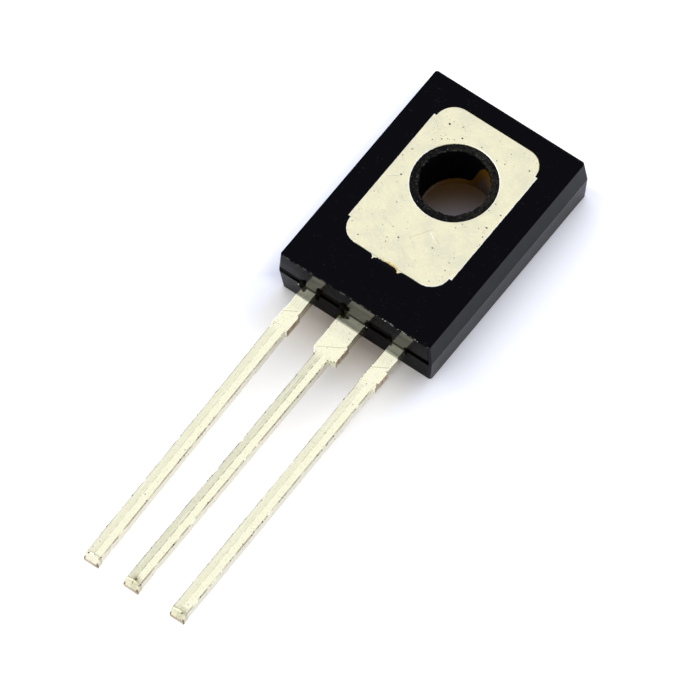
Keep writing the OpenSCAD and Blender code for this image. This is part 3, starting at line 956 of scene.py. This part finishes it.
class TRANSISTOR_OT_flash(bpy.types.Operator):
    """Lumps of resin beside the leads and specks of dirt on the pad"""

    bl_idname = "transistor.flash"
    bl_label = "Resin flash"

    # Place along x and z on the lead end, and half sizes across, out and up, in millimetres
    LUMPS = (
        (-2.57, 1.58, 0.14, 0.1, 0.16), (-2.62, 1.38, 0.09, 0.13, 0.1),
        (-1.76, 1.66, 0.12, 0.1, 0.16), (-1.84, 1.3, 0.06, 0.1, 0.1),
        (-1.85, 1.06, 0.07, 0.09, 0.13), (-0.53, 1.74, 0.15, 0.1, 0.17),
        (-0.6, 1.45, 0.12, 0.11, 0.14), (-0.34, 1.72, 0.08, 0.07, 0.06),
        (0.72, 1.56, 0.09, 0.09, 0.11), (0.63, 1.08, 0.05, 0.06, 0.08),
        (1.8, 1.54, 0.1, 0.08, 0.12), (2.62, 1.36, 0.06, 0.08, 0.09),
        (2.62, 1.12, 0.04, 0.05, 0.07),
    )
    # Specks of dirt on the pad: place along x and y, and radius, in millimetres
    PITS = (
        (-1.79, 2.1, 0.055), (-0.97, 1.86, 0.045), (-0.33, -3.35, 0.045), (-0.71, -3.61, 0.03),
        (1.08, -2.95, 0.035), (2.3, -0.92, 0.05), (2.42, -1.36, 0.035), (2.14, 2.22, 0.04),
        (1.14, 1.89, 0.03), (-1.99, -0.94, 0.045), (2.12, -3.49, 0.03), (1.95, 0.18, 0.03),
        (1.29, -1.65, 0.025), (2.42, -0.13, 0.04), (-1.93, 1.11, 0.03), (-1.64, 1.35, 0.035),
        (-2.33, 0.28, 0.035), (-0.08, 1.98, 0.03), (-1.73, -4.2, 0.035), (1.08, 2.42, 0.025),
        (-1.45, 1.5, 0.025), (-1.75, 1.45, 0.02), (-1.2, 1.62, 0.025),
    )
    # Pale specks on the parting line: place along x, and radius, in millimetres
    PALE = ((-2.75, 0.035), (0.57, 0.022), (0.68, 0.02))
    # How far a lump's middle lies inside the lead end, and a pale speck's outside it
    LUMP_IN, PALE_OUT = 0.01, 0.05
    # A speck on the pad: its length for each unit of width, and half its height
    PIT_LENGTH, PIT_H = 0.8, 0.006
    # How far a ball's surface departs from round
    UNEVEN = 0.45

    def execute(self, context):
        scale = context.scene.transistor_crumbs.flash
        self.lumps("flash", resin_material(), 3, [
            (Vector((x, BODY_END + self.LUMP_IN, z)), Vector((across, out, up)) * scale)
            for x, z, across, out, up in self.LUMPS])
        dirt = crumb_material("Dirt on the pad", (0.05, 0.04, 0.03), (0.14, 0.11, 0.08))
        self.lumps("pad_specks", dirt, 2, [
            (Vector((x, y, TOP)), Vector((radius, radius * self.PIT_LENGTH, self.PIT_H)))
            for x, y, radius in self.PITS])
        pale = crumb_material("Pale speck", (0.8, 0.8, 0.76), (0.95, 0.95, 0.92))
        self.lumps("pale_speck", pale, 2, [
            (Vector((x, BODY_END - self.PALE_OUT, PARTING_Z)), Vector((radius,) * 3))
            for x, radius in self.PALE])
        return {"FINISHED"}

    def lumps(self, name, material, level, balls):
        """Makes a piece of uneven balls, each with its centre and half sizes."""
        bm = bmesh.new()
        for centre, half in balls:
            made = bmesh.ops.create_icosphere(bm, subdivisions=level, radius=1.0)
            for vert in made["verts"]:
                swell = noise.noise(vert.co * 1.7 + centre * 6.0)
                v = vert.co * (1 + self.UNEVEN * swell)
                vert.co = centre + Vector((v.x * half.x, v.y * half.y, v.z * half.z))
        crease(bm, LUMP_ANGLE)
        finish_piece(bm, name, [material], None)


class TRANSISTOR_OT_crumbs(bpy.types.Operator):
    """Dark specks on the leads' edges and pale dust on the moulding's near edge"""

    bl_idname = "transistor.crumbs"
    bl_label = "Crumbs and dust"

    # Density and size of the dust, for each unit of the crumbs'
    DUST_DENSITY, DUST_SIZE = 2.2, 0.7
    # Least and greatest size of a speck along its three axes, for each unit of mean size
    LEAST, MOST = (0.5, 0.5, 0.25), (1.7, 1.7, 0.8)

    def execute(self, context):
        props = context.scene.transistor_crumbs
        tree = self.scatter_tree()
        dark = crumb_material("Dark crumbs", (0.012, 0.01, 0.007), (0.07, 0.055, 0.035))
        pale = crumb_material("Pale dust", (0.6, 0.6, 0.58), (0.85, 0.85, 0.82))
        for step, source in enumerate(LEAD_PIECES.values()):
            self.scatter(tree, source, "crumbs_" + source, dark, props.density, props.size,
                         props.seed + step)
        self.scatter(tree, "moulding", "dust", pale, props.density * self.DUST_DENSITY,
                     props.size * self.DUST_SIZE, props.seed)
        return {"FINISHED"}

    def scatter_tree(self):
        """Flattened, uneven specks on all faces."""
        tree = bpy.data.node_groups.new("Scatter specks", "GeometryNodeTree")
        inputs = {"Geometry": "Geometry", "Density": "Float", "Size": "Float", "Seed": "Int",
                  "Material": "Material"}
        for name, kind in inputs.items():
            tree.interface.new_socket(name, in_out="INPUT", socket_type="NodeSocket" + kind)
        tree.interface.new_socket("Geometry", in_out="OUTPUT", socket_type="NodeSocketGeometry")
        b = Board(tree)
        node = b.put("NodeGroupInput", output=None)
        given = {socket.name: Wire(b, socket) for socket in node.outputs}
        points = b.put("GeometryNodeDistributePointsOnFaces", None, {
            "Mesh": given["Geometry"], "Density": given["Density"], "Seed": given["Seed"]},
            output=None)
        speck = b.put("GeometryNodeMeshIcoSphere", None, {"Radius": 1.0, "Subdivisions": 2})
        spread = b.put("FunctionNodeRandomValue", {"data_type": "FLOAT_VECTOR"},
                       {0: self.LEAST, 1: self.MOST, "Seed": given["Seed"]})
        size = b.put("ShaderNodeVectorMath", {"operation": "SCALE"},
                     {0: spread, "Scale": given["Size"]})
        placed = b.put("GeometryNodeInstanceOnPoints", None, {
            "Points": Wire(b, points.outputs["Points"]), "Instance": speck,
            "Rotation": Wire(b, points.outputs["Rotation"]), "Scale": size})
        plain = b.put("GeometryNodeRealizeInstances", None, {"Geometry": placed})
        painted = b.put("GeometryNodeSetMaterial", None,
                        {"Geometry": plain, "Material": given["Material"]})
        b.put("NodeGroupOutput", None, {"Geometry": painted}, output=None)
        return tree

    def sites(self, source, name):
        """The marked faces of a piece as a mesh, in an order that is the same in each run."""
        mesh = bpy.data.objects[source].data
        marked = mesh.attributes["crumb_site"].data
        faces = []
        for face in mesh.polygons:
            if marked[face.index].value:
                corners = [tuple(mesh.vertices[i].co) for i in face.vertices]
                first = corners.index(min(corners))
                faces.append(corners[first:] + corners[:first])
        bm = bmesh.new()
        for corners in sorted(faces):
            bm.faces.new([bm.verts.new(corner) for corner in corners])
        made = bpy.data.meshes.new(name)
        bm.to_mesh(made)
        bm.free()
        return made

    def scatter(self, tree, source, name, material, density, size, seed):
        """Makes a piece from the specks on another piece."""
        piece = add_object(name, self.sites(source, name))
        modifier = piece.modifiers.new("Specks", "NODES")
        modifier.node_group = tree
        values = {"Density": density, "Size": size, "Seed": seed, "Material": material}
        for item in tree.interface.items_tree:
            if item.in_out == "INPUT" and item.name in values:
                modifier[item.identifier] = values[item.name]
        bake(piece, modifier)
        if not piece.data.polygons:
            raise RuntimeError("no specks on " + source)
        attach(piece, "root")


class TRANSISTOR_OT_stage(bpy.types.Operator):
    """Floor, soft light and the camera"""

    bl_idname = "transistor.stage"
    bl_label = "Stage"

    # Half the floor's side, and the place that the lamps point at, in metres
    FLOOR_HALF = 4.0
    LIT = (0.0, -0.008, 0.001)

    def execute(self, context):
        props = context.scene.transistor_stage
        self.floor(props)
        self.sky(props)
        key = self.lamp("key", props.key_power, width=0.42, way=(-0.105, 0.193, 0.273))
        key.visible_glossy = False
        self.lamp("side", props.side_power, width=0.2, way=(-0.26, -0.08, 0.17))
        sheen = self.lamp("sheen", props.sheen_power, width=0.15, way=(-0.109, -0.13, 0.306))
        sheen.visible_diffuse = False
        self.camera()
        context.scene.view_settings.view_transform = "Standard"
        return {"FINISHED"}

    def floor(self, props):
        """A wide flat sheet at the part's lowest point."""
        bm = bmesh.new()
        bmesh.ops.create_grid(bm, x_segments=1, y_segments=1, size=self.FLOOR_HALF)
        mesh = bpy.data.meshes.new("floor")
        bm.to_mesh(mesh)
        bm.free()
        mesh.materials.append(floor_material(props))
        floor = add_object("floor", mesh)

    def sky(self, props):
        """White where it is seen or mirrored, most so low down; bluish and dimmer as light."""
        world = bpy.data.worlds.new("Soft room")
        world.use_nodes = True
        bpy.context.scene.world = world
        b = Board(world.node_tree)
        seen = b.seen()
        height = b.split(b.put("ShaderNodeTexCoord", output="Generated"))[2]
        mirrored = 1 - props.sky + 0.7 * height.rise(0.6, 0.25)
        tint = b.mix(seen, (0.95, 0.96, 1.0), WHITE)
        light = b.put("ShaderNodeBackground", None,
                      {"Color": tint, "Strength": seen * mirrored + props.sky})
        b.put("ShaderNodeOutputWorld", None, {"Surface": light}, output=None)

    def lamp(self, name, power, width, way):
        """A round area light that faces the part from a way off, in metres."""
        data = bpy.data.lights.new(name, "AREA")
        data.shape = "DISK"
        data.size = width
        data.energy = power
        lamp = add_object(name, data)
        lamp.location = Vector(self.LIT) + Vector(way)
        lamp.rotation_euler = Vector(way).to_track_quat("Z", "Y").to_euler()
        lamp.visible_camera = False
        return lamp

    def camera(self):
        """The photo's viewpoint, as fitted to the part's edges."""
        azimuth, elevation, roll = (math.radians(a) for a in (40.0207, 61.0149, -3.6928))
        target = Vector((0.7156, -8.0791, 1.25)) * MM
        distance = 0.45
        pixels_per_mm = 24.8344
        frame_side = 700
        back = Vector((math.sin(azimuth) * math.cos(elevation),
                       -math.cos(azimuth) * math.cos(elevation), math.sin(elevation)))
        right = Vector((math.cos(azimuth), math.sin(azimuth), 0.0))
        up = back.cross(right)
        turned_right = math.cos(roll) * right + math.sin(roll) * up
        turned_up = -math.sin(roll) * right + math.cos(roll) * up
        data = bpy.data.cameras.new("camera")
        data.sensor_width = 36.0
        data.lens = pixels_per_mm * distance / MM * data.sensor_width / frame_side
        data.clip_start = 0.01
        data.clip_end = 50.0
        camera = add_object("camera", data)
        turn = Matrix((turned_right, turned_up, back)).transposed()
        camera.matrix_world = Matrix.Translation(target + back * distance) @ turn.to_4x4()
        bpy.context.scene.camera = camera


class TRANSISTOR_PT_parts(bpy.types.Panel):
    """Makes the transistor's pieces"""

    bl_idname = "TRANSISTOR_PT_parts"
    bl_label = "Transistor"
    bl_space_type = "VIEW_3D"
    bl_region_type = "UI"
    bl_category = "Transistor"

    def draw(self, context):
        scene = context.scene
        for group, operators in (
                (scene.transistor_moulding, (TRANSISTOR_OT_moulding,)),
                (scene.transistor_leadframe, (TRANSISTOR_OT_leadframe, TRANSISTOR_OT_chip)),
                (scene.transistor_crumbs, (TRANSISTOR_OT_flash, TRANSISTOR_OT_crumbs)),
                (scene.transistor_stage, (TRANSISTOR_OT_stage,))):
            box = self.layout.box()
            for key in group.__annotations__:
                box.prop(group, key)
            for operator in operators:
                box.operator(operator.bl_idname)


CLASSES = (MouldingProps, LeadframeProps, CrumbProps, StageProps, TRANSISTOR_OT_moulding,
           TRANSISTOR_OT_leadframe, TRANSISTOR_OT_chip, TRANSISTOR_OT_flash, TRANSISTOR_OT_crumbs,
           TRANSISTOR_OT_stage, TRANSISTOR_PT_parts)


def register():
    for cls in CLASSES:
        bpy.utils.register_class(cls)
    bpy.types.Scene.transistor_moulding = PointerProperty(type=MouldingProps)
    bpy.types.Scene.transistor_leadframe = PointerProperty(type=LeadframeProps)
    bpy.types.Scene.transistor_crumbs = PointerProperty(type=CrumbProps)
    bpy.types.Scene.transistor_stage = PointerProperty(type=StageProps)


def unregister():
    for name in ("moulding", "leadframe", "crumbs", "stage"):
        delattr(bpy.types.Scene, "transistor_" + name)
    for cls in reversed(CLASSES):
        bpy.utils.unregister_class(cls)


def main():
    register()
    bpy.ops.transistor.stage()
    bpy.ops.transistor.moulding()
    bpy.ops.transistor.leadframe()
    bpy.ops.transistor.chip()
    bpy.ops.transistor.flash()
    bpy.ops.transistor.crumbs()


if __name__ == "__main__":
    main()
